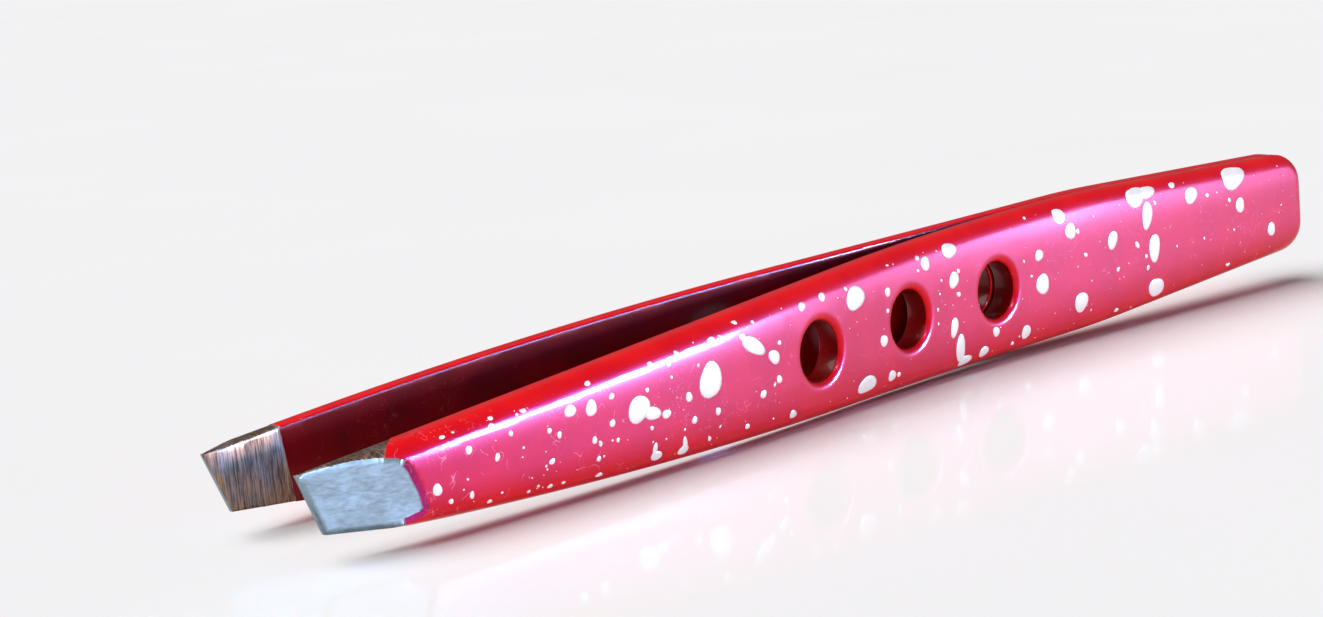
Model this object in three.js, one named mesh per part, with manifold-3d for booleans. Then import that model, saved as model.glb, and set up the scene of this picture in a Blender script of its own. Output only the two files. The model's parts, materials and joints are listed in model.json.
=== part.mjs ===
// Slant tweezers: two stamped steel arms, spot-welded face to face at their rear ends.
//
// Millimetres. +X runs from the tips to the rear end, and +Z is up, across the width of the arms.
// The left arm lies on the -Y side of the middle plane and the right arm on the +Y side, as the
// user sees them when looking along the tweezers towards the tips. The origin is below the centre
// of the tweezers, level with their lowest edge. Lengths along an arm are counted from the tips.

import * as THREE from 'three';
import { mergeVertices } from 'three/addons/utils/BufferGeometryUtils.js';
import Module from 'manifold-3d';

const wasm = await Module();
wasm.setup();

// Outline of an arm, seen from the side
const armLength = 95;
const widestAt = 68;
const halfWidthMax = 4.8;
const frontEdgeRadius = 790; // long curve of each edge, from the widest place to the tip
const rearEdgeRadius = 100; // short curve behind the widest place, into the taper of the tang
const rearTaper = 0.048; // narrowing of each edge per millimetre of tang
const rearCornerRadius = 2;

// Section of an arm
const thickness = 2.05;
const outerEdgeRadius = 1;
const innerEdgeBreak = 0.12;

// Bend of an arm: flat on the middle plane to weldFront, then out, then gently back in
const weldFront = 67;
const bendEnd = 43;
const leanMax = THREE.MathUtils.degToRad(8.1);
const leanAtTip = THREE.MathUtils.degToRad(-1.25);

// Ground tip
const tipTop = { along: 0, up: 1.86 };
const tipBottom = { along: 1.4, up: -1.74 };
const lowerGrindEnd = 10; // the lower edge is ground in a straight line from here to the tip
const facetLength = 6.45;
const tipEdgeThickness = 0.32;

// Holes through the finger grip
const holeCount = 3;
const firstHoleAt = 39.7;
const holePitch = 9.55;
const holeRadius = 1.95;

// Flexing: each blade turns about the middle of its own thickness, just in front of the weld
const hingeAt = 60;
const splitAt = 62.3; // where the blade ends and the tang begins
const splitGap = 0.3;
const gripAngle = THREE.MathUtils.degToRad(4.13); // the turn at which the ground tips meet
const gripGap = 0.04; // left between a closed tip and the middle plane
const tipJoinAt = 7;

// Weld nuggets between the two tangs
const nuggetRadius = 1.6;
const nuggetDepth = 0.4; // into each tang
const nuggetGap = 0.05;
const nuggetPlaces = { weld_front: 69.5, weld_middle: 78, weld_rear: 87 };

// Fineness of the curved surfaces
const stationStep = 2;
const cornerSteps = 8;
const edgeSteps = 5;
const holeSides = 36;

const lacquer = { color: 0xc8102a, roughness: 0.22, metalness: 0 };
const steel = { color: 0x9ba3ab, roughness: 0.38, metalness: 1 };

function halfWidthAt(along) {
  const behind = along - widestAt;
  if (behind < 0) return halfWidthMax - behind ** 2 / (2 * frontEdgeRadius);
  const curved = Math.min(behind, rearTaper * rearEdgeRadius);
  return halfWidthMax - curved ** 2 / (2 * rearEdgeRadius) - rearTaper * (behind - curved);
}

// Half of the outline: places along the upper edge, each with its outward normal's lean to the rear.
function halfOutline() {
  const places = [];
  const cornerCentre = armLength - rearCornerRadius;
  const cornerLean = Math.atan(rearTaper);
  const cornerStart = cornerCentre + rearCornerRadius * Math.sin(cornerLean);
  for (let along = -stationStep; along < cornerStart - 0.5; along += stationStep) {
    const behind = along - widestAt;
    const slope = Math.min(behind / (behind < 0 ? frontEdgeRadius : rearEdgeRadius), rearTaper);
    places.push({ along, up: halfWidthAt(along), lean: Math.atan(slope) });
  }
  const cornerUp = halfWidthAt(cornerStart) - rearCornerRadius * Math.cos(cornerLean);
  for (let i = 0; i <= cornerSteps; i++) {
    const lean = THREE.MathUtils.lerp(cornerLean, Math.PI / 2, i / cornerSteps);
    const along = cornerCentre + rearCornerRadius * Math.sin(lean);
    places.push({ along, up: cornerUp + rearCornerRadius * Math.cos(lean), lean });
  }
  return places;
}

// Layers through the thickness: how far out each one is, and how far inside the outline it stays.
function sectionLayers() {
  const layers = [{ out: 0, inset: innerEdgeBreak }, { out: innerEdgeBreak, inset: 0 }];
  for (let i = 0; i <= edgeSteps; i++) {
    const turn = (Math.PI / 2) * (i / edgeSteps);
    layers.push({
      out: thickness - outerEdgeRadius * (1 - Math.sin(turn)),
      inset: outerEdgeRadius * (1 - Math.cos(turn)),
    });
  }
  return layers;
}

// Distance of an arm's inner face from the middle plane.
function openingAt(along) {
  const bend = THREE.MathUtils.clamp(weldFront - along, 0, weldFront - bendEnd);
  const blade = Math.max(bendEnd - along, 0);
  const bendRise = (leanMax * bend ** 2) / (2 * (weldFront - bendEnd));
  return bendRise + leanMax * blade + ((leanAtTip - leanMax) * blade ** 2) / (2 * bendEnd);
}

function place(along, across, up) {
  return new THREE.Vector3(along - armLength / 2, across, up + halfWidthMax);
}

function toSolid(geometry) {
  const plain = geometry.clone();
  plain.deleteAttribute('normal');
  plain.deleteAttribute('uv');
  const merged = mergeVertices(plain, 1e-5);
  return new wasm.Manifold(new wasm.Mesh({
    numProp: 3,
    vertProperties: Float32Array.from(merged.attributes.position.array),
    triVerts: Uint32Array.from(merged.index.array),
  }));
}

function toGeometry(solid) {
  const { vertProperties, triVerts } = solid.getMesh();
  const geometry = new THREE.BufferGeometry();
  geometry.setAttribute('position', new THREE.BufferAttribute(vertProperties, 3));
  geometry.setIndex(new THREE.BufferAttribute(triVerts, 1));
  geometry.computeVertexNormals();
  return geometry;
}

// The right arm before grinding: a stack of outlines, bent away from the middle plane.
function bentBlank() {
  const outline = halfOutline();
  const layers = sectionLayers();
  const ring = 2 * outline.length;
  const positions = [];
  for (const { out, inset } of layers) {
    const upper = outline.map(({ along, up, lean }) => ({
      along: along - inset * Math.sin(lean),
      up: up - inset * Math.cos(lean),
    }));
    const lower = upper.map(({ along, up }) => ({ along, up: -up })).reverse();
    for (const { along, up } of [...upper, ...lower]) {
      positions.push(...place(along, openingAt(along) + out, up));
    }
  }
  const faces = [];
  const quad = (a, b, c, d) => faces.push(a, c, b, a, d, c);
  for (let layer = 0; layer + 1 < layers.length; layer++) {
    for (let i = 0; i < ring; i++) {
      const here = layer * ring + i;
      const next = layer * ring + (i + 1) % ring;
      quad(here, here + ring, next + ring, next);
    }
  }
  const outermost = (layers.length - 1) * ring;
  for (let i = 0; i + 1 < outline.length; i++) {
    const below = ring - 1 - i;
    quad(i, i + 1, below - 1, below);
    quad(outermost + i, outermost + below, outermost + below - 1, outermost + i + 1);
  }
  const geometry = new THREE.BufferGeometry();
  geometry.setAttribute('position', new THREE.Float32BufferAttribute(positions, 3));
  geometry.setIndex(faces);
  return toSolid(geometry);
}

// Everything beyond a plane, as a large block with one face on it.
function beyond(point, normal) {
  const size = 120;
  const block = new THREE.BoxGeometry(size, size, size).translate(0, 0, size / 2);
  const turn = new THREE.Quaternion().setFromUnitVectors(new THREE.Vector3(0, 0, 1), normal);
  return toSolid(block.applyQuaternion(turn).translate(point.x, point.y, point.z));
}

// The stretch of an arm from one length to another.
function stretch(solid, from, to) {
  const size = 40;
  const block = new THREE.BoxGeometry(to - from, size, size);
  const middle = place((from + to) / 2, 0, 0);
  return solid.intersect(toSolid(block.translate(middle.x, middle.y, middle.z)));
}

function pin(along, radius, height, across) {
  const rod = new THREE.CylinderGeometry(radius, radius, height, holeSides);
  const middle = place(along, across, 0);
  return rod.translate(middle.x, middle.y, middle.z);
}

const hinge = place(hingeAt, openingAt(hingeAt) + thickness / 2, 0);

function slantCut() {
  const { along: top, up: high } = tipTop;
  const { along: bottom, up: low } = tipBottom;
  const normal = new THREE.Vector3(low - high, 0, top - bottom).normalize();
  return beyond(place(top, 0, high), normal);
}

function lowerEdgeCut() {
  const rise = -halfWidthAt(lowerGrindEnd) - tipBottom.up;
  const run = lowerGrindEnd - tipBottom.along;
  const normal = new THREE.Vector3(rise, 0, -run).normalize();
  return beyond(place(tipBottom.along, 0, tipBottom.up), normal);
}

// The flat ground on the outside, from the full thickness down to the edge of the tip.
function facetCut() {
  const { along: top, up: high } = tipTop;
  const { along: bottom, up: low } = tipBottom;
  const upperTip = place(top, openingAt(top) + tipEdgeThickness, high);
  const lowerTip = place(bottom, openingAt(bottom) + tipEdgeThickness, low);
  const rear = place(facetLength, openingAt(facetLength) + thickness, 0);
  const normal = new THREE.Vector3();
  new THREE.Triangle(upperTip, rear, lowerTip).getNormal(normal);
  return beyond(rear, normal.y > 0 ? normal : normal.negate());
}

// The gripping flat: the middle plane, turned back with the arm from where the tips meet.
function gripCut() {
  const closed = place(0, gripGap, 0).sub(hinge);
  const up = new THREE.Vector3(0, 0, 1);
  const open = closed.applyAxisAngle(up, -gripAngle).add(hinge);
  return beyond(open, new THREE.Vector3(0, -1, 0).applyAxisAngle(up, -gripAngle));
}

function rightArm() {
  let arm = bentBlank();
  for (const cut of [slantCut(), lowerEdgeCut(), facetCut(), gripCut()]) {
    arm = arm.subtract(cut);
  }
  for (let i = 0; i < holeCount; i++) {
    arm = arm.subtract(toSolid(pin(firstHoleAt + i * holePitch, holeRadius, 40, 0)));
  }
  return arm;
}

function tangWithSockets(arm) {
  let tang = stretch(arm, splitAt + splitGap / 2, armLength + 1);
  for (const along of Object.values(nuggetPlaces)) {
    const depth = 2 * (nuggetDepth + nuggetGap);
    tang = tang.subtract(toSolid(pin(along, nuggetRadius + nuggetGap, depth, 0)));
  }
  return tang;
}

// The left arm is the right arm's mirror image in the middle plane.
function mirrored(geometry) {
  const copy = geometry.clone().scale(1, -1, 1);
  const index = copy.index.array;
  for (let i = 0; i < index.length; i += 3) {
    [index[i + 1], index[i + 2]] = [index[i + 2], index[i + 1]];
  }
  copy.computeVertexNormals();
  return copy;
}

function addMesh(group, name, geometry, finish) {
  const mesh = new THREE.Mesh(geometry, new THREE.MeshStandardMaterial(finish));
  mesh.name = name;
  group.add(mesh);
}

const tweezers = new THREE.Group();
const arm = rightArm();
const armPieces = {
  tang: { solid: tangWithSockets(arm), finish: lacquer },
  blade: { solid: stretch(arm, tipJoinAt, splitAt - splitGap / 2), finish: lacquer },
  tip: { solid: stretch(arm, -1, tipJoinAt), finish: steel },
};
for (const [name, { solid, finish }] of Object.entries(armPieces)) {
  const geometry = toGeometry(solid);
  addMesh(tweezers, `right_${name}`, geometry, finish);
  addMesh(tweezers, `left_${name}`, mirrored(geometry), finish);
}
for (const [name, along] of Object.entries(nuggetPlaces)) {
  addMesh(tweezers, name, pin(along, nuggetRadius, 2 * nuggetDepth, 0), steel);
}

export default tweezers;
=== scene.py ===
import json
import math
import random

import bmesh
import bpy
from mathutils import Matrix, Vector, noise
from mathutils.bvhtree import BVHTree

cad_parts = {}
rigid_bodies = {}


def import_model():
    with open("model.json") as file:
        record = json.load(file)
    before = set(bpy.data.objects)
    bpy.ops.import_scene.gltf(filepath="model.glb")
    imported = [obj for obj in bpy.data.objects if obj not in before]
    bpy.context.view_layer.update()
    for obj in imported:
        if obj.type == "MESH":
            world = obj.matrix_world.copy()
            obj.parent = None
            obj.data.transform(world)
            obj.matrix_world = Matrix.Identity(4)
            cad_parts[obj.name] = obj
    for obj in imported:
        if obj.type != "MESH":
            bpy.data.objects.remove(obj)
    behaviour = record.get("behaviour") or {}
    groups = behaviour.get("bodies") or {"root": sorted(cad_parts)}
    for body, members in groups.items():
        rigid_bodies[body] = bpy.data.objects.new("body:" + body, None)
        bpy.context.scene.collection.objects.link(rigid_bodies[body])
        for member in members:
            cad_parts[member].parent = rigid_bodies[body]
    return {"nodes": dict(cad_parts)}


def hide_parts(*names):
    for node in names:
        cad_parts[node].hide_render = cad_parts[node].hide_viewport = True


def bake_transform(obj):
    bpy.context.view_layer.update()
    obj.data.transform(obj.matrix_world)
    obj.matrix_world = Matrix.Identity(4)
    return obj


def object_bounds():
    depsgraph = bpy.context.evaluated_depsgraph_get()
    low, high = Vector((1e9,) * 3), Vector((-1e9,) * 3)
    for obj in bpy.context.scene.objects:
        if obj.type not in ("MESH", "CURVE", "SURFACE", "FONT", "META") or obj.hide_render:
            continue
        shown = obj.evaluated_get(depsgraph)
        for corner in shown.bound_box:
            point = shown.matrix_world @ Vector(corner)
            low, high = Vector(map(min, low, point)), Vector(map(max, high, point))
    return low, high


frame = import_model()
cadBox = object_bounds()
cadLow, cadHigh = cadBox
print("frame loaded")

mm = 0.001

# The arms are modelled in millimetres: x is the length from the tips, y goes out from the middle
# plane, z goes up from the centreline. toFrame brings that into the frame, in metres.
toFrame = Matrix.Translation((cadLow.x, 0, (cadLow.z + cadHigh.z) / 2)) @ Matrix.Scale(mm, 4)
armLength = (cadHigh.x - cadLow.x) / mm
halfWidthMax = (cadHigh.z - cadLow.z) / 2 / mm
thickness = 2.05
tiny = 1e-3  # two places closer than this are the same
onPlane = 1e-4  # a cut uses corners closer than this to its plane

blank = {
    "overrun": 3,  # spare length in front of the tips, ground away later
    "widestAt": 68,
    "frontEdgeRadius": 790,
    "rearEdgeRadius": 100,
    "rearTaper": 0.048,
    "rearCorner": 2,
    "outlineStep": 2,
    "outerRadius": 1,
    "innerBreak": 0.2,
    "crown": 0.42,  # how much the outer face falls away towards its edges
    "crownPower": 4,
    "shadingWeight": 60,
    "weldFront": 67,
    "bendEnd": 43,
    "leanMax": math.radians(8.1),
    "leanAtTip": math.radians(-1.25),
}

holes = {
    "places": [39.7, 49.25, 58.8],
    "radius": 1.95,
    "collar": 2.6,  # ring of clean faces round each hole
    "window": (3.2, 2.8),
    "outerRim": 0.48,
    "innerRim": 0.2,
    "wallMargin": 0.05,
}

# Spacing of the stations along the plate and of the lines across it
ruling = {
    "start": 0.2,
    "tip": 0.25,
    "tipEnd": 8,
    "grip": 0.4,
    "gripSpan": (35, 63),
    "elsewhere": 0.8,
    "across": 0.32,
    "linesEachSide": 14,
}

grinding = {
    "tipTop": (0, 1.86),  # along, up
    "tipBottom": (1.4, -1.74),
    "lowerEnd": 10,
    "facetLength": 6.7,
    "edgeThickness": 0.32,
    "gripAngle": math.radians(4.13),
    "gripGap": 0.04,
    "hinge": 60,
    "shoulder": 0.36,  # lacquer that rolls over the rear edge of the facet
    "shoulderFrom": 0.86,  # as a share of the facet's length
    "bareEnd": 12,  # no paint line lies behind this
    "facing": 0.6,  # faces turned at least this much one way belong to that side
    "lacquerStep": 0.03,
    "stepWidth": 0.02,
    "waver": ((0.07, 3.1), (0.04, 9.7)),  # how far the lacquer's edge strays, and how often
}

# Where the lacquer ends on each arm, as lengths from the tips
paintLines = {
    "left": {"innerTop": 6.5, "innerBottom": 6.9, "sideInner": 6.5, "sideOuter": 4.4, "lower": 5.3},
    "right": {"innerTop": 5.15, "innerBottom": 5.6, "sideInner": 5.15, "sideOuter": 5.3,
              "lower": 5.5},
}


def halfWidthAt(along):
    behind = along - blank["widestAt"]
    if behind < 0:
        return halfWidthMax - behind ** 2 / (2 * blank["frontEdgeRadius"])
    curved = min(behind, blank["rearTaper"] * blank["rearEdgeRadius"])
    tapered = blank["rearTaper"] * (behind - curved)
    return halfWidthMax - curved ** 2 / (2 * blank["rearEdgeRadius"]) - tapered


# Distance of an arm's inner face from the middle plane
def openingAt(along):
    bendLength = blank["weldFront"] - blank["bendEnd"]
    bend = min(max(blank["weldFront"] - along, 0), bendLength)
    blade = max(blank["bendEnd"] - along, 0)
    rise = blank["leanMax"] * (bend ** 2 / (2 * bendLength) + blade)
    return rise + (blank["leanAtTip"] - blank["leanMax"]) * blade ** 2 / (2 * blank["bendEnd"])


def everything(bm):
    return bm.verts[:] + bm.edges[:] + bm.faces[:]


def edgesAt(bm, across):
    return [e for e in bm.edges if all(abs(v.co.y - across) < tiny for v in e.verts)]


def roundEdges(bm, edges, offset, segments):
    bmesh.ops.bevel(
        bm, geom=edges, offset=offset, segments=segments, profile=0.5, affect="EDGES", material=-1
    )


# A flat plate in the arm's outline, with its outer edges well rounded and its inner edges broken
def flatPlate(bm):
    curveEnd = blank["widestAt"] + blank["rearTaper"] * blank["rearEdgeRadius"]
    count = round((curveEnd + blank["overrun"]) / blank["outlineStep"])
    alongs = [curveEnd - i * blank["outlineStep"] for i in range(count, -1, -1)] + [armLength]
    upper = [bm.verts.new((along, 0, halfWidthAt(along))) for along in alongs]
    lower = [bm.verts.new((v.co.x, 0, -v.co.z)) for v in reversed(upper)]
    bm.faces.new(upper + lower)
    bmesh.ops.bevel(
        bm, geom=[upper[-1], lower[0]], offset=blank["rearCorner"], segments=10,
        profile=0.5, affect="VERTICES", material=-1,
    )
    sheet = bmesh.ops.extrude_face_region(bm, geom=bm.faces[:])["geom"]
    raised = [v for v in sheet if isinstance(v, bmesh.types.BMVert)]
    bmesh.ops.translate(bm, verts=raised, vec=(0, thickness, 0))
    bmesh.ops.recalc_face_normals(bm, faces=bm.faces[:])
    roundEdges(bm, edgesAt(bm, thickness), blank["outerRadius"], 12)
    roundEdges(bm, edgesAt(bm, 0), blank["innerBreak"], 3)


def sliceAt(bm, place, direction):
    bmesh.ops.bisect_plane(
        bm, geom=everything(bm), dist=onPlane, plane_co=place, plane_no=direction
    )


def stepAt(along):
    if along < ruling["tipEnd"]:
        return ruling["tip"]
    start, end = ruling["gripSpan"]
    return ruling["grip"] if start < along < end else ruling["elsewhere"]


# Fine stations along the plate and lines across it, so that it can be pierced, crowned and bent
def ruleLines(bm):
    along = ruling["start"]
    while along < armLength:
        sliceAt(bm, (along, 0, 0), (1, 0, 0))
        along += stepAt(along)
    lines = ruling["linesEachSide"]
    for i in range(-lines, lines + 1):
        sliceAt(bm, (0, 0, i * ruling["across"]), (0, 0, 1))


def onHole(v, along):
    return abs(math.hypot(v.co.x - along, v.co.z) - holes["radius"]) < tiny


# The edges of an opening are drawn in to a circle, which becomes the next opening
def drawIn(bm, edges, along, radius):
    made = bmesh.ops.extrude_edge_only(bm, edges=edges)["geom"]
    verts = {v for v in made if isinstance(v, bmesh.types.BMVert)}
    for v in verts:
        spoke = Vector((v.co.x - along, 0, v.co.z)).normalized() * radius
        v.co = (along + spoke.x, v.co.y, spoke.z)
    return list({e for v in verts for e in v.link_edges if all(w in verts for w in e.verts)})


# A window is opened round each hole in both faces, drawn in to the hole, and bridged through
def pierceHoles(bm):
    width, height = holes["window"]
    for along in holes["places"]:
        mouths = []
        for across in (thickness, 0):
            window = [
                f for f in bm.faces
                if all(abs(v.co.y - across) < tiny for v in f.verts)
                and abs(f.calc_center_median().x - along) < width
                and abs(f.calc_center_median().z) < height
            ]
            bmesh.ops.delete(bm, geom=window, context="FACES")
            edges = [e for e in edgesAt(bm, across) if e.is_boundary]
            collar = drawIn(bm, edges, along, holes["collar"])
            mouths += drawIn(bm, collar, along, holes["radius"])
        bmesh.ops.bridge_loops(bm, edges=mouths)
        bmesh.ops.recalc_face_normals(bm, faces=bm.faces[:])
        for across, rim in ((0, holes["innerRim"]), (thickness, holes["outerRim"])):
            edges = [e for e in edgesAt(bm, across) if all(onHole(v, along) for v in e.verts)]
            roundEdges(bm, edges, rim, 5)


def crownAndBend(bm):
    for v in bm.verts:
        out = v.co.y / thickness
        up = v.co.z / halfWidthAt(v.co.x)
        v.co.y -= blank["crown"] * out * min(up ** blank["crownPower"], 1)
        v.co.y += openingAt(v.co.x)


# Takes off everything beyond a plane and closes the cut with a new face in the given finish
def grind(bm, point, normal, finish):
    made = bmesh.ops.bisect_plane(
        bm, geom=everything(bm), dist=onPlane, plane_co=point, plane_no=normal, clear_outer=True
    )
    rim = [e for e in made["geom_cut"] if isinstance(e, bmesh.types.BMEdge)]
    faces = bmesh.ops.holes_fill(bm, edges=rim, sides=0)["faces"]
    for f in faces:
        f.material_index = finish
        if f.normal.dot(normal) < 0:
            f.normal_flip()
    return faces


# The inner lacquer finish is painted shade: a darker copy of the red for the faces between the arms
# and the hole walls
finishes = {"lacquer": 0, "lengthwise": 1, "crosswise": 2, "shadedInnerLacquer": 3, "featheredPaintedSheen": 4}
lacquered = (finishes["lacquer"], finishes["shadedInnerLacquer"], finishes["featheredPaintedSheen"])


def grindTip(bm):
    (top, high), (bottom, low) = grinding["tipTop"], grinding["tipBottom"]
    slant = Vector((low - high, 0, top - bottom)).normalized()
    grind(bm, Vector((top, 0, high)), slant, finishes["lengthwise"])

    rise = -halfWidthAt(grinding["lowerEnd"]) - low
    lowerEdge = Vector((rise, 0, bottom - grinding["lowerEnd"])).normalized()
    grind(bm, Vector((bottom, 0, low)), lowerEdge, finishes["lacquer"])

    edge = grinding["edgeThickness"]
    upperTip = Vector((top, openingAt(top) + edge, high))
    lowerTip = Vector((bottom, openingAt(bottom) + edge, low))
    rear = grinding["facetLength"]
    rearPoint = Vector((rear, openingAt(rear) + thickness, 0))
    facet = (rearPoint - upperTip).cross(lowerTip - upperTip).normalized()
    if facet.y < 0:
        facet.negate()
    facetFaces = grind(bm, rearPoint, facet, finishes["lengthwise"])
    ring = bmesh.ops.inset_region(
        bm, faces=facetFaces, thickness=grinding["shoulder"], depth=0, use_even_offset=True
    )["faces"]
    # Its rear part gets a magenta lacquer: real thinned lacquer rolling over the shoulder, with a
    # painted violet reflection in its colour
    for f in ring:
        if f.calc_center_median().x > grinding["facetLength"] * grinding["shoulderFrom"]:
            f.material_index = finishes["featheredPaintedSheen"]

    hinge = Vector((grinding["hinge"], openingAt(grinding["hinge"]) + thickness / 2, 0))
    turn = Matrix.Rotation(-grinding["gripAngle"], 3, "Z")
    meeting = turn @ (Vector((0, grinding["gripGap"], 0)) - hinge) + hinge
    grind(bm, meeting, turn @ Vector((0, -1, 0)), finishes["crosswise"])


# Cuts the faces that look one way along the paint line, and bares the steel in front of it
def barePatch(bm, facing, start, end):
    facing = Vector(facing)
    across = (end - start).cross(facing).normalized()
    if across.x < 0:
        across.negate()

    def turned(f):
        return f.normal.dot(facing) > grinding["facing"]

    group = [f for f in bm.faces if turned(f) and f.calc_center_median().x < grinding["bareEnd"]]
    parts = {v for f in group for v in f.verts} | {e for f in group for e in f.edges}
    bmesh.ops.bisect_plane(
        bm, geom=group + list(parts), dist=onPlane, plane_co=start, plane_no=across
    )
    for f in bm.faces:
        ahead = (f.calc_center_median() - start).dot(across) < 0
        if ahead and turned(f) and f.material_index == finishes["lacquer"]:
            f.material_index = finishes["crosswise"]


def bareTip(bm, line):
    def inner(along, up):
        return Vector((along, openingAt(along), up))

    def outer(along, up):
        return Vector((along, openingAt(along) + thickness, up))

    up, down = 2, -2
    barePatch(bm, (0, -1, 0), inner(line["innerTop"], up), inner(line["innerBottom"], down))
    barePatch(bm, (0, 0, 1), inner(line["sideInner"], up), outer(line["sideOuter"], up))
    barePatch(bm, (0, 0, -1), inner(line["innerBottom"], down), outer(line["lower"], down))


def inBore(f):
    middle = f.calc_center_median()
    reach = holes["radius"] + holes["wallMargin"]
    return any(math.hypot(middle.x - along, middle.z) < reach for along in holes["places"])


# The side that faces the other arm and the walls of the holes get a much darker copy of the red
# lacquer: painted shade for the shadow between the arms and in the bores
def paintShadeInside(bm):
    for f in bm.faces:
        if f.material_index == finishes["lacquer"] and (f.normal.y < -0.9 or inBore(f)):
            f.material_index = finishes["shadedInnerLacquer"]


# The lacquer's edge wavers a little, and the bare steel lies a step below it
def sinkSteel(bm):
    steel = [f for f in bm.faces if f.material_index not in lacquered]
    border = {
        v for f in steel for v in f.verts
        if any(g.material_index in lacquered for g in v.link_faces)
    }
    for v in border:
        v.co.x += sum(far * noise.noise(v.co * often) for far, often in grinding["waver"])
    bmesh.ops.inset_region(
        bm, faces=steel, thickness=grinding["stepWidth"], depth=-grinding["lacquerStep"],
        use_even_offset=False,
    )


def buildArm(side):
    bm = bmesh.new()
    flatPlate(bm)
    ruleLines(bm)
    pierceHoles(bm)
    crownAndBend(bm)
    grindTip(bm)
    bareTip(bm, paintLines[side])
    paintShadeInside(bm)
    sinkSteel(bm)
    if side == "left":
        bmesh.ops.scale(bm, verts=bm.verts[:], vec=(1, -1, 1))
        bmesh.ops.reverse_faces(bm, faces=bm.faces[:])
    return bm


# Turns a bmesh into an object in the frame. Its surface in millimetres is returned as well
def finishMesh(name, bm, materials, place=toFrame):
    skin = BVHTree.FromBMesh(bm)
    bmesh.ops.transform(bm, matrix=place, verts=bm.verts[:])
    for f in bm.faces:
        f.smooth = True
    mesh = bpy.data.meshes.new(name)
    bm.to_mesh(mesh)
    bm.free()
    for material in materials:
        mesh.materials.append(material)
    piece = bpy.data.objects.new(name, mesh)
    bpy.context.scene.collection.objects.link(piece)
    return piece, skin


# One value on its way through a material's nodes: sums on it add Math nodes
class Value:
    def __init__(self, shader, socket):
        self.shader = shader
        self.socket = socket

    def maths(self, operation, first, second=0.0):
        return self.shader.node("ShaderNodeMath", {"operation": operation}, {0: first, 1: second})

    def __add__(self, other):
        return self.maths("ADD", self, other)

    def __radd__(self, other):
        return self.maths("ADD", other, self)

    def __sub__(self, other):
        return self.maths("SUBTRACT", self, other)

    def __rsub__(self, other):
        return self.maths("SUBTRACT", other, self)

    def __mul__(self, other):
        return self.maths("MULTIPLY", self, other)

    def __rmul__(self, other):
        return self.maths("MULTIPLY", other, self)


class Shader:
    def __init__(self, name):
        self.material = bpy.data.materials.new(name)
        self.material.use_nodes = True
        self.tree = self.material.node_tree
        self.tree.nodes.clear()

    def node(self, kind, settings=None, sockets=None, output=0):
        made = self.tree.nodes.new(kind)
        for name, value in (settings or {}).items():
            if name == "stops":
                made.color_ramp.elements[0].position = value[0][0]
                made.color_ramp.elements[0].color = value[0][1]
                made.color_ramp.elements[1].position = value[-1][0]
                made.color_ramp.elements[1].color = value[-1][1]
                for position, color in value[1:-1]:
                    made.color_ramp.elements.new(position).color = color
            else:
                setattr(made, name, value)
        for name, value in (sockets or {}).items():
            if isinstance(value, Value):
                self.tree.links.new(value.socket, made.inputs[name])
            else:
                made.inputs[name].default_value = value
        return Value(self, made.outputs[output]) if made.outputs else None

    # Object coordinates in millimetres, stretched and moved as asked
    def place(self, scale=(1, 1, 1), location=(0, 0, 0)):
        where = self.node("ShaderNodeTexCoord", output="Object")
        return self.node(
            "ShaderNodeMapping", None,
            {"Vector": where, "Scale": [s / mm for s in scale], "Location": location},
        )

    # The length from the tips and the height above the centreline, in millimetres
    def lengthAndHeight(self):
        origin = toFrame.translation / mm
        where = self.place(location=(-origin.x, 0, -origin.z))
        return [
            self.node("ShaderNodeSeparateXYZ", None, {"Vector": where}, output=axis)
            for axis in ("X", "Z")
        ]

    def noise(self, scale, detail=2.0, stretch=(1, 1, 1), roughness=0.5, location=(0, 0, 0)):
        return self.node(
            "ShaderNodeTexNoise", None,
            {"Vector": self.place(stretch, location), "Scale": scale, "Detail": detail,
             "Roughness": roughness},
        )

    def clamped(self, value, low, high, toLow=0.0, toHigh=1.0):
        return self.node(
            "ShaderNodeMapRange", {"interpolation_type": "SMOOTHSTEP"},
            {"Value": value, "From Min": low, "From Max": high, "To Min": toLow, "To Max": toHigh},
        )

    def mix(self, factor, first, second):
        return self.node(
            "ShaderNodeMix", {"data_type": "RGBA"}, {"Factor": factor, 6: first, 7: second}, output=2
        )

    # Height in millimetres
    def bump(self, height):
        return self.node("ShaderNodeBump", None, {"Height": height, "Distance": mm})

    def principled(self, sockets):
        surface = self.node("ShaderNodeBsdfPrincipled", None, sockets)
        self.node("ShaderNodeOutputMaterial", None, {"Surface": surface})
        return self.material


lacquer = {
    "red": (0.74, 0.006, 0.004, 1),
    "deepRed": (0.66, 0.003, 0.004, 1),
    # painted shade: the inner faces and hole walls take this much darker red, standing in for the
    # shade between the arms
    "inner": (0.17, 0.0005, 0.0005, 1),
    "deepShadedInner": (0.11, 0.0005, 0.0005, 1),
    # painted reflection: the thinned lacquer on the facet's rolled shoulder is tinted magenta,
    # standing in for the violet light it reflects
    "featheredPaintedSheen": (0.5, 0.015, 0.16, 1),
    "deepFeatheredPaintedSheen": (0.32, 0.01, 0.1, 1),
    "scratch": (1, 0.45, 0.6, 1),
    "sheen": (0.8, 0.1, 0.8, 1),  # the violet of its highlights
    "innerSheen": (0.8, 0.1, 0.15, 1),
    "ior": 1.32,
    "coat": 0.5,
    "coatRoughness": 0.12,
    "coatIor": 1.33,
    "peel": 0.006,  # heights of its ripple, grit and scratches, in millimetres
    "grit": 0.0012,
    "scratchDepth": 0.003,
    "midFace": (1.9, 2.9),  # scratches fade between these heights from the centreline
    "thumbed": (20, 30),  # and between these lengths from the tips
}


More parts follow.
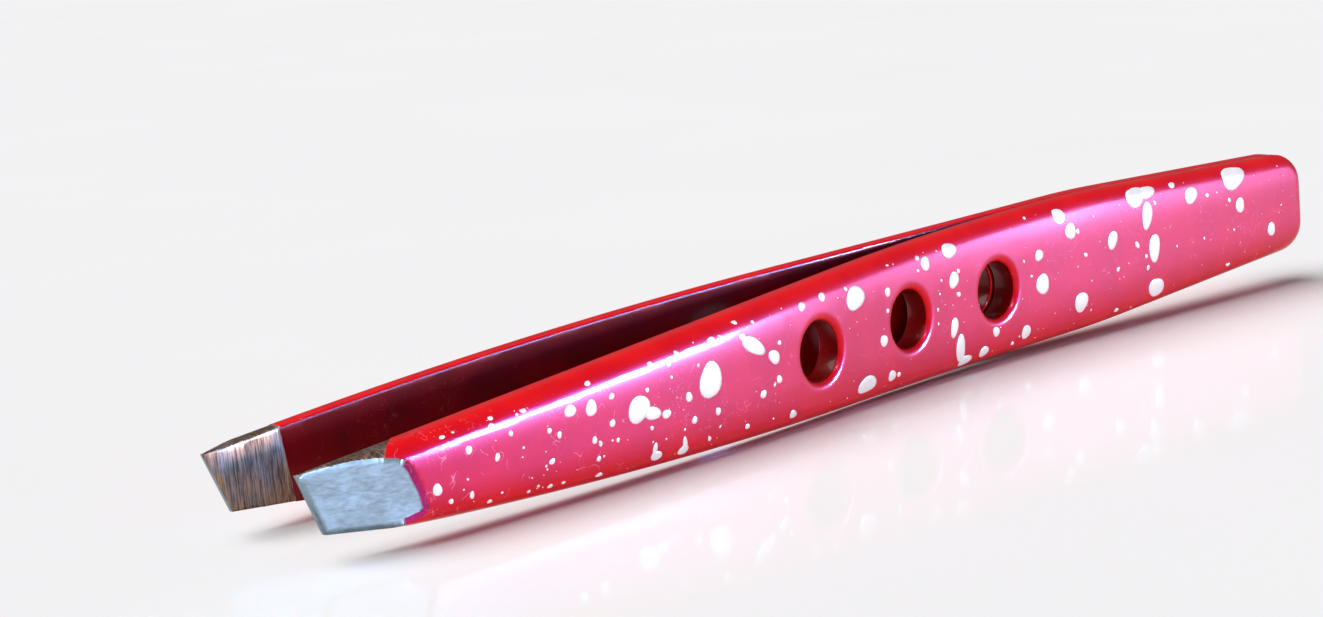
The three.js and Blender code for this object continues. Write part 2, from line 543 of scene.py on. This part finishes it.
# Wear is how strongly its scratches show
def redLacquer(name, lightTone, darkTone, sheen, wear):
    shader = Shader(name)
    cloud = shader.clamped(shader.noise(0.35, detail=3), 0.35, 0.65)
    color = shader.mix(cloud, lightTone, darkTone)

    # Hair scratches follow the level lines of a noise, broken up and gathered in worn places
    curls = shader.noise(0.55, detail=1.5)
    lines = shader.clamped(curls.maths("ABSOLUTE", curls - 0.5), 0.0, 0.006, 1.0, 0.0)
    broken = shader.clamped(shader.noise(1.3, detail=2, location=(7, 0, 3)), 0.52, 0.6)
    swirls = shader.noise(1.9, detail=2, location=(3, 5, 1))
    fineLines = shader.clamped(swirls.maths("ABSOLUTE", swirls - 0.5), 0.0, 0.012, 1.0, 0.0)
    worn = shader.clamped(shader.noise(0.16, detail=2, location=(1.7, 0, 4)), 0.45, 0.62)
    dust = shader.clamped(shader.noise(6, detail=1, location=(2, 8, 5)), 0.7, 0.75)
    along, up = shader.lengthAndHeight()
    midFace = shader.clamped(up.maths("ABSOLUTE", up), *lacquer["midFace"], 1.0, 0.0)
    thumbed = shader.clamped(along, *lacquer["thumbed"], 1.0, 0.45)
    scratches = lines * broken * 0.6 + fineLines * broken * worn + dust * worn * 0.7
    scratches = scratches * midFace * thumbed
    color = shader.mix(scratches * wear, color, lacquer["scratch"])

    peel = shader.noise(1.1, detail=1)
    grit = shader.noise(9, detail=2)
    roughness = 0.28 + 0.16 * grit + 0.2 * scratches
    height = peel * lacquer["peel"] + grit * lacquer["grit"] - scratches * lacquer["scratchDepth"]
    return shader.principled({
        "Base Color": color, "Roughness": roughness, "IOR": lacquer["ior"],
        "Coat Weight": lacquer["coat"], "Coat Roughness": lacquer["coatRoughness"],
        "Coat IOR": lacquer["coatIor"], "Specular Tint": sheen, "Normal": shader.bump(height),
    })


steel = {
    "bright": (0.28, 0.36, 0.4, 1),
    "dull": (0.19, 0.26, 0.3, 1),
    "warm": (0.46, 0.27, 0.17, 1),
    "groove": (0.09, 0.055, 0.042, 1),
    "nickContrast": 0.08,
}


# Steel with the marks of the grinding belt: grain is how they are stretched along x, y and z,
# depth how deep they are in millimetres, and marks how soft their edges are
def groundSteel(name, grain, lightTone, darkTone, depth, marks):
    shader = Shader(name)
    wide = shader.noise(1.0, detail=4, stretch=grain, roughness=0.6)
    fine = shader.noise(2.7, detail=3, stretch=grain, roughness=0.7, location=(2, 1, 5))
    stains = shader.clamped(shader.noise(0.7, detail=3), 0.4, 0.7)
    tone = shader.clamped(wide * 0.6 + fine * 0.4, 0.5 - marks, 0.5 + marks)
    color = shader.mix(tone, darkTone, lightTone)
    color = shader.mix(stains * 0.25, color, steel["dull"])
    nicks = shader.clamped(fine, 0.26, 0.36, 1.0, 0.0)
    color = shader.mix(nicks * (steel["nickContrast"] / marks), color, steel["groove"])
    roughness = 0.3 + 0.22 * wide + 0.1 * stains
    height = wide * 0.5 + fine * 0.5 - nicks * 0.4
    return shader.principled({
        "Base Color": color, "Metallic": 1.0, "Roughness": roughness,
        "Normal": shader.bump(height * depth),
    })


spatterPaint = {
    "white": (0.96, 0.95, 0.99, 1),
    "offWhite": (0.9, 0.89, 0.97, 1),
    "coat": 0.6,
    "coatRoughness": 0.1,
    "grain": 0.004,
}


def whiteSpatter():
    shader = Shader("whiteSpatter")
    tone = shader.clamped(shader.noise(0.8, detail=2), 0.35, 0.65)
    color = shader.mix(tone, spatterPaint["white"], spatterPaint["offWhite"])
    grain = shader.noise(6, detail=2)
    return shader.principled({
        "Base Color": color, "Roughness": 0.25 + 0.15 * grain,
        "Coat Weight": spatterPaint["coat"], "Coat Roughness": spatterPaint["coatRoughness"],
        "Normal": shader.bump(grain * spatterPaint["grain"]),
    })


weldFinish = {
    "clean": (0.33, 0.32, 0.34, 1),
    "burnt": (0.2, 0.17, 0.2, 1),
    "scale": 0.02,
}


def weldSteel():
    shader = Shader("weldSteel")
    burn = shader.clamped(shader.noise(1.4, detail=3), 0.35, 0.65)
    color = shader.mix(burn, weldFinish["clean"], weldFinish["burnt"])
    return shader.principled({
        "Base Color": color, "Metallic": 1.0, "Roughness": 0.35 + 0.3 * burn,
        "Normal": shader.bump(shader.noise(4, detail=3) * weldFinish["scale"]),
    })


# White lacquer thrown on from a brush. Each drop of the left arm, listed one by one, is its length
# from the tips, its height, radius and stretch, and its turn in degrees
drops = {
    "height": 0.045,
    "fineBelow": 0.13,  # drops of a smaller radius are lower and have fewer faces
    "fineHeight": 0.6,
    "fineSegments": (8, 4),
    "segments": (20, 8),
    "waver": (0.07, 0.05),
    "frontEnd": 8.5,
    "rearMargin": 2,
    "spread": 0.97,  # as a share of the arm's half width
    "large": {"count": 90, "radii": (0.15, 1.2)},
    "fine": {"count": 230, "radii": (0.03, 0.2)},
    "seeds": {"left": 11, "right": 42},
    "left": [
        (7.7, -0.57, 0.32, 1.1, 80), (8.6, 2.37, 0.19, 1, 0), (10.1, 1.06, 0.22, 1.2, 80),
        (10.0, -1.45, 0.16, 1.4, 80), (11.3, -2.35, 0.19, 1, 0), (11.9, 2.03, 0.2, 1, 0),
        (12.0, 0.2, 0.18, 1.3, 80), (14.1, -2.48, 0.14, 1, 0), (15.7, -2.56, 0.18, 1.2, 30),
        (15.9, 0.76, 0.16, 1.1, 80), (16.6, 0.36, 0.17, 1.2, 80), (16.7, -2.6, 0.15, 1, 0),
        (17.6, 1.51, 0.39, 1.1, 0), (19.2, 1.3, 0.42, 1.2, 90), (19.3, 2.84, 0.21, 1.1, 60),
        (19.2, -0.58, 0.2, 1.1, 60), (19.4, -1.73, 0.16, 1.1, 80), (19.5, -2.95, 0.22, 1.3, 20),
        (20.7, 0.05, 0.22, 1.1, 70), (21.0, -1.01, 0.14, 1, 0), (22.9, 0.35, 0.82, 1.08, 15),
        (24.0, -0.15, 0.42, 1.5, -15), (25.1, -0.45, 0.27, 1.4, -10), (23.8, -0.98, 0.14, 1, 0),
        (23.7, 1.31, 0.15, 1, 0), (24.1, -2.85, 0.42, 1.1, 0), (23.95, -2.35, 0.2, 2.2, 80),
        (26.4, -3.15, 0.44, 1.1, 0), (26.5, -2.6, 0.2, 2.2, 90), (27.1, 0.1, 0.27, 1.2, 80),
        (27.4, -1.37, 0.22, 1.1, 80), (29.1, 0.66, 0.98, 1.16, 84), (29.5, -1.34, 0.22, 1.2, 80),
        (29.6, 2.95, 0.34, 1.1, 0), (33.2, 1.85, 0.52, 2.1, -33), (35.0, 0.75, 0.45, 1.2, -30),
        (32.3, 2.6, 0.22, 1.3, 0), (35.6, 1.5, 0.16, 1, 0), (35.3, -0.72, 0.25, 1.1, 0),
        (33.7, -1.28, 0.25, 1.2, 40), (32.1, -2.94, 0.2, 1, 0), (36.5, -3.3, 0.32, 1.1, 0),
        (38.1, -2.5, 0.6, 1.2, 80), (38.2, 3.23, 0.33, 1, 0), (40.3, 3.43, 0.33, 1, 0),
        (43.6, 2.62, 0.82, 1.15, 5), (44.2, -3.19, 0.6, 1.6, 5), (46.9, -3.23, 0.38, 1, 0),
        (46.2, -0.74, 0.38, 1.1, 60), (48.6, -2.75, 0.45, 1, 0), (47.0, 2.3, 0.3, 1, 0),
        (51.3, 3.34, 0.48, 1, 0), (54.0, 3.75, 0.62, 1.2, -20), (54.1, 1.66, 0.52, 1.1, 70),
        (53.8, -1.5, 0.42, 1.6, 75), (54.4, -3.1, 0.52, 1.9, 88), (55.0, -4.3, 0.6, 1.2, 0),
        (57.0, -4.0, 0.5, 1, 0), (58.3, -2.75, 0.36, 1, 0), (61.5, -0.95, 0.95, 1.1, 0),
        (63.6, -0.5, 0.68, 1.1, 0), (61.6, -3.5, 0.5, 1, 0), (63.4, 1.55, 0.42, 1, 0),
        (66.0, 3.9, 0.62, 1.2, -40), (67.0, 2.6, 0.56, 1.1, 0), (67.7, -2.6, 0.72, 1, 0),
        (71.5, 1.13, 0.55, 1.2, 60), (74.6, 3.9, 0.9, 1.3, 20), (76.0, 4.0, 0.7, 1.2, 0),
        (75.6, 2.2, 0.6, 1.7, 80), (76.2, -0.3, 0.66, 1.5, 84), (76.3, -3.3, 0.8, 1.1, 0),
        (80.9, 2.75, 0.66, 1.1, 0), (79.0, 4.0, 0.35, 1, 0), (86.3, 3.5, 1.25, 1.15, 0),
        (86.7, 1.0, 0.55, 1, 0), (90.5, -1.5, 0.5, 1, 0),
    ],
}


# Presses a flattened ball with a wavering outline onto the arm's surface
def throwDrop(bm, skin, outward, along, up, radius, stretch, turn, seed):
    fine = radius < drops["fineBelow"]
    around, rings = drops["fineSegments"] if fine else drops["segments"]
    drop = bmesh.new()
    bmesh.ops.create_uvsphere(drop, u_segments=around, v_segments=rings, radius=1)
    height = drops["height"] * (drops["fineHeight"] if fine else 1)
    twofold, threefold = drops["waver"]
    for v in drop.verts:
        angle = math.atan2(v.co.y, v.co.x)
        waver = 1 + twofold * math.sin(2 * angle + seed) + threefold * math.sin(3 * angle + 2.3 * seed)
        flat = Vector((v.co.x * stretch, v.co.y)) * radius * waver
        flat.rotate(Matrix.Rotation(math.radians(turn), 2))
        lift = math.copysign(abs(v.co.z) ** 0.6, v.co.z) * height
        here = Vector((along + flat.x, outward * (openingAt(along) + thickness), up + flat.y))
        spot, normal, _, _ = skin.find_nearest(here)
        v.co = spot + normal * lift
    mesh = bpy.data.meshes.new("drop")
    drop.to_mesh(mesh)
    drop.free()
    bm.from_mesh(mesh)
    bpy.data.meshes.remove(mesh)


# Random drops, most of them near the smaller radius
def scatter(rng, kind):
    small, large = kind["radii"]
    thrown = []
    for _ in range(kind["count"]):
        along = rng.uniform(drops["frontEnd"], armLength - drops["rearMargin"])
        up = rng.uniform(-drops["spread"], drops["spread"]) * halfWidthAt(along)
        radius = small + (large - small) * rng.random() ** 4
        thrown.append((along, up, radius, rng.uniform(1, 1.4), rng.uniform(0, 180)))
    return thrown


def clearOfHoles(drop):
    along, up, radius = drop[:3]
    reach = holes["radius"] + holes["outerRim"] + radius
    return all(math.hypot(along - place, up) > reach for place in holes["places"])


def throwSpatter(side, skin, materials):
    rng = random.Random(drops["seeds"][side])
    thrown = list(drops.get(side) or scatter(rng, drops["large"]))
    thrown += scatter(rng, drops["fine"])
    outward = {"left": -1, "right": 1}[side]
    bm = bmesh.new()
    for drop in filter(clearOfHoles, thrown):
        throwDrop(bm, skin, outward, *drop, seed=rng.uniform(0, 6.28))
    piece, _ = finishMesh(f"{side}_spatter", bm, materials)
    return piece


def moveWithArm(piece):
    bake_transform(piece)


red = redLacquer("redLacquer", lacquer["red"], lacquer["deepRed"], lacquer["sheen"], wear=0.9)
# painted shade: a darker copy of the red lacquer for the inner faces and the hole walls
shadedInnerRed = redLacquer(
    "innerRedPaintedShade", lacquer["inner"], lacquer["deepShadedInner"], lacquer["innerSheen"], wear=0.1
)
# thinned lacquer on the facet's shoulder, its magenta colour a painted reflection of violet light
thinRedPaintedSheen = redLacquer(
    "featheredLacquerPaintedSheen", lacquer["featheredPaintedSheen"], lacquer["deepFeatheredPaintedSheen"], lacquer["sheen"], wear=0.3
)
lengthwise = groundSteel(
    "steelGroundLengthwise", (0.05, 6, 6), steel["bright"], steel["dull"], depth=0.0015, marks=0.25
)
crosswise = groundSteel(
    "steelGroundCrosswise", (9, 4, 0.5), steel["warm"], steel["groove"], depth=0.012, marks=0.11
)
armMaterials = [red, lengthwise, crosswise, shadedInnerRed, thinRedPaintedSheen]  # in the order of the finishes
white = whiteSpatter()
print("materials made")

for side in ("left", "right"):
    arm, skin = finishMesh(f"{side}_tweezer_arm", buildArm(side), armMaterials)
    arm.modifiers.new("evenShading", "WEIGHTED_NORMAL").weight = blank["shadingWeight"]
    moveWithArm(arm)
    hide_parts(*(f"{side}_{part}" for part in ("tang", "blade", "tip")))
    spatter = throwSpatter(side, skin, [white])
    moveWithArm(spatter)
    print(side, "arm built")

weldMaterial = weldSteel()
for name, node in frame["nodes"].items():
    if name.startswith("weld"):
        node.data.materials.clear()
        node.data.materials.append(weldMaterial)
print("welds finished")

# The floor tilts a little, because the tweezers rock forward on their long lower edges
floor = {
    "size": 6,
    "contact": 42,
    "rise": 0.07,
    "tilt": math.radians(1.82),
    "light": (0.86, 0.86, 0.87, 1),
    "dark": (0.83, 0.83, 0.84, 1),
    "gloss": 0.08,
    "roughness": 0.05,
}


def layFloor():
    shader = Shader("whiteFloor")
    cloud = shader.noise(0.02, detail=2)
    color = shader.mix(cloud, floor["light"], floor["dark"])
    matt = shader.node("ShaderNodeBsdfDiffuse", None, {"Color": color})
    gloss = shader.node("ShaderNodeBsdfGlossy", None, {"Roughness": floor["roughness"]})
    surface = shader.node("ShaderNodeMixShader", None, {0: floor["gloss"], 1: matt, 2: gloss})
    shader.node("ShaderNodeOutputMaterial", None, {"Surface": surface})
    bm = bmesh.new()
    bmesh.ops.create_grid(bm, x_segments=1, y_segments=1, size=floor["size"] / 2)
    contact = toFrame @ Vector((floor["contact"], 0, 0))
    contact.z = floor["rise"] * mm
    place = Matrix.Translation(contact) @ Matrix.Rotation(floor["tilt"], 4, "Y")
    piece, _ = finishMesh("floor", bm, [shader.material], place)


layFloor()

camera = {
    "azimuth": math.radians(-41.27),
    "elevation": math.radians(11.04),
    "roll": math.radians(-5.44),
    "aim": Vector((-2.57, 16.51, 4.8)) * mm,
    "distance": 180.5 * mm,
    "lens": 70.75,
    "sensor": 36,
    "clip": (0.01, 20),
}


def placeCamera():
    data = bpy.data.cameras.new("camera")
    data.lens = camera["lens"]
    data.sensor_width = camera["sensor"]
    data.clip_start, data.clip_end = camera["clip"]
    viewer = bpy.data.objects.new("camera", data)
    viewer.matrix_world = (
        Matrix.Translation(camera["aim"])
        @ Matrix.Rotation(camera["azimuth"], 4, "Z")
        @ Matrix.Rotation(math.pi / 2 - camera["elevation"], 4, "X")
        @ Matrix.Rotation(camera["roll"], 4, "Z")
        @ Matrix.Translation((0, 0, camera["distance"]))
    )
    bpy.context.scene.collection.objects.link(viewer)
    bpy.context.scene.camera = viewer


placeCamera()

# Soft boxes round the tweezers: azimuth and elevation in degrees, distance and size in metres.
# Those that give gleam show only in reflections, and the one that gives fill only lights
softBoxes = {
    "ridgeStrip": {"azimuth": -51, "elevation": 4.6, "distance": 0.3, "size": (0.1, 0.055),
                   "power": 5, "color": (0.93, 0.86, 1), "gives": "gleam"},
    "frontFill": {"azimuth": -110, "elevation": 4.5, "distance": 1.2, "size": (1.2, 0.16),
                  "power": 6, "color": (1, 0.97, 0.98), "gives": "fill"},
    "edgeLight": {"azimuth": -59, "elevation": 16, "distance": 0.4, "size": (0.05, 0.12),
                  "power": 4, "color": (0.04, 0.36, 1), "gives": "gleam"},
    "holeGleam": {"azimuth": -117, "elevation": 49, "distance": 0.5, "size": (0.08, 0.06),
                  "power": 1.5, "color": (0.9, 0.97, 1), "gives": "gleam"},
}
sun = {"azimuth": 160, "elevation": 57, "angle": 60, "power": 3.95, "color": (1, 0.985, 0.98)}
sky = {"Color": (0.9, 0.93, 1, 1), "Strength": 0.12}


def direction(azimuth, elevation):
    a, e = math.radians(azimuth), math.radians(elevation)
    return Vector((math.cos(a) * math.cos(e), math.sin(a) * math.cos(e), math.sin(e)))


def hangLight(name, kind, spec, target):
    data = bpy.data.lights.new(name, kind)
    data.energy = spec["power"]
    data.color = spec["color"]
    towards = direction(spec["azimuth"], spec["elevation"])
    light = bpy.data.objects.new(name, data)
    light.location = target + towards * spec.get("distance", 1)  # a sun may hang anywhere
    light.rotation_euler = towards.to_track_quat("Z", "Y").to_euler()
    bpy.context.scene.collection.objects.link(light)
    return light


def lightStudio():
    target = Vector((0, 0, (cadLow.z + cadHigh.z) / 2))
    lit = bpy.data.collections.new("litBySoftBoxes")  # all but the floor, which would mirror them
    for piece in bpy.context.scene.objects:
        if piece.type == "MESH" and piece.name != "floor":
            lit.objects.link(piece)
    for name, spec in softBoxes.items():
        light = hangLight(name, "AREA", spec, target)
        light.data.shape = "RECTANGLE"
        light.data.size, light.data.size_y = spec["size"]
        light.visible_camera = False
        light.visible_diffuse = spec["gives"] == "fill"
        light.visible_glossy = spec["gives"] == "gleam"
        light.light_linking.receiver_collection = lit
    key = hangLight("key", "SUN", sun, target)
    key.data.angle = math.radians(sun["angle"])
    world = bpy.data.worlds.new("studio")
    world.use_nodes = True
    for name, value in sky.items():
        world.node_tree.nodes["Background"].inputs[name].default_value = value
    bpy.context.scene.world = world
    bpy.context.scene.view_settings.view_transform = "Standard"


lightStudio()
print("studio ready")
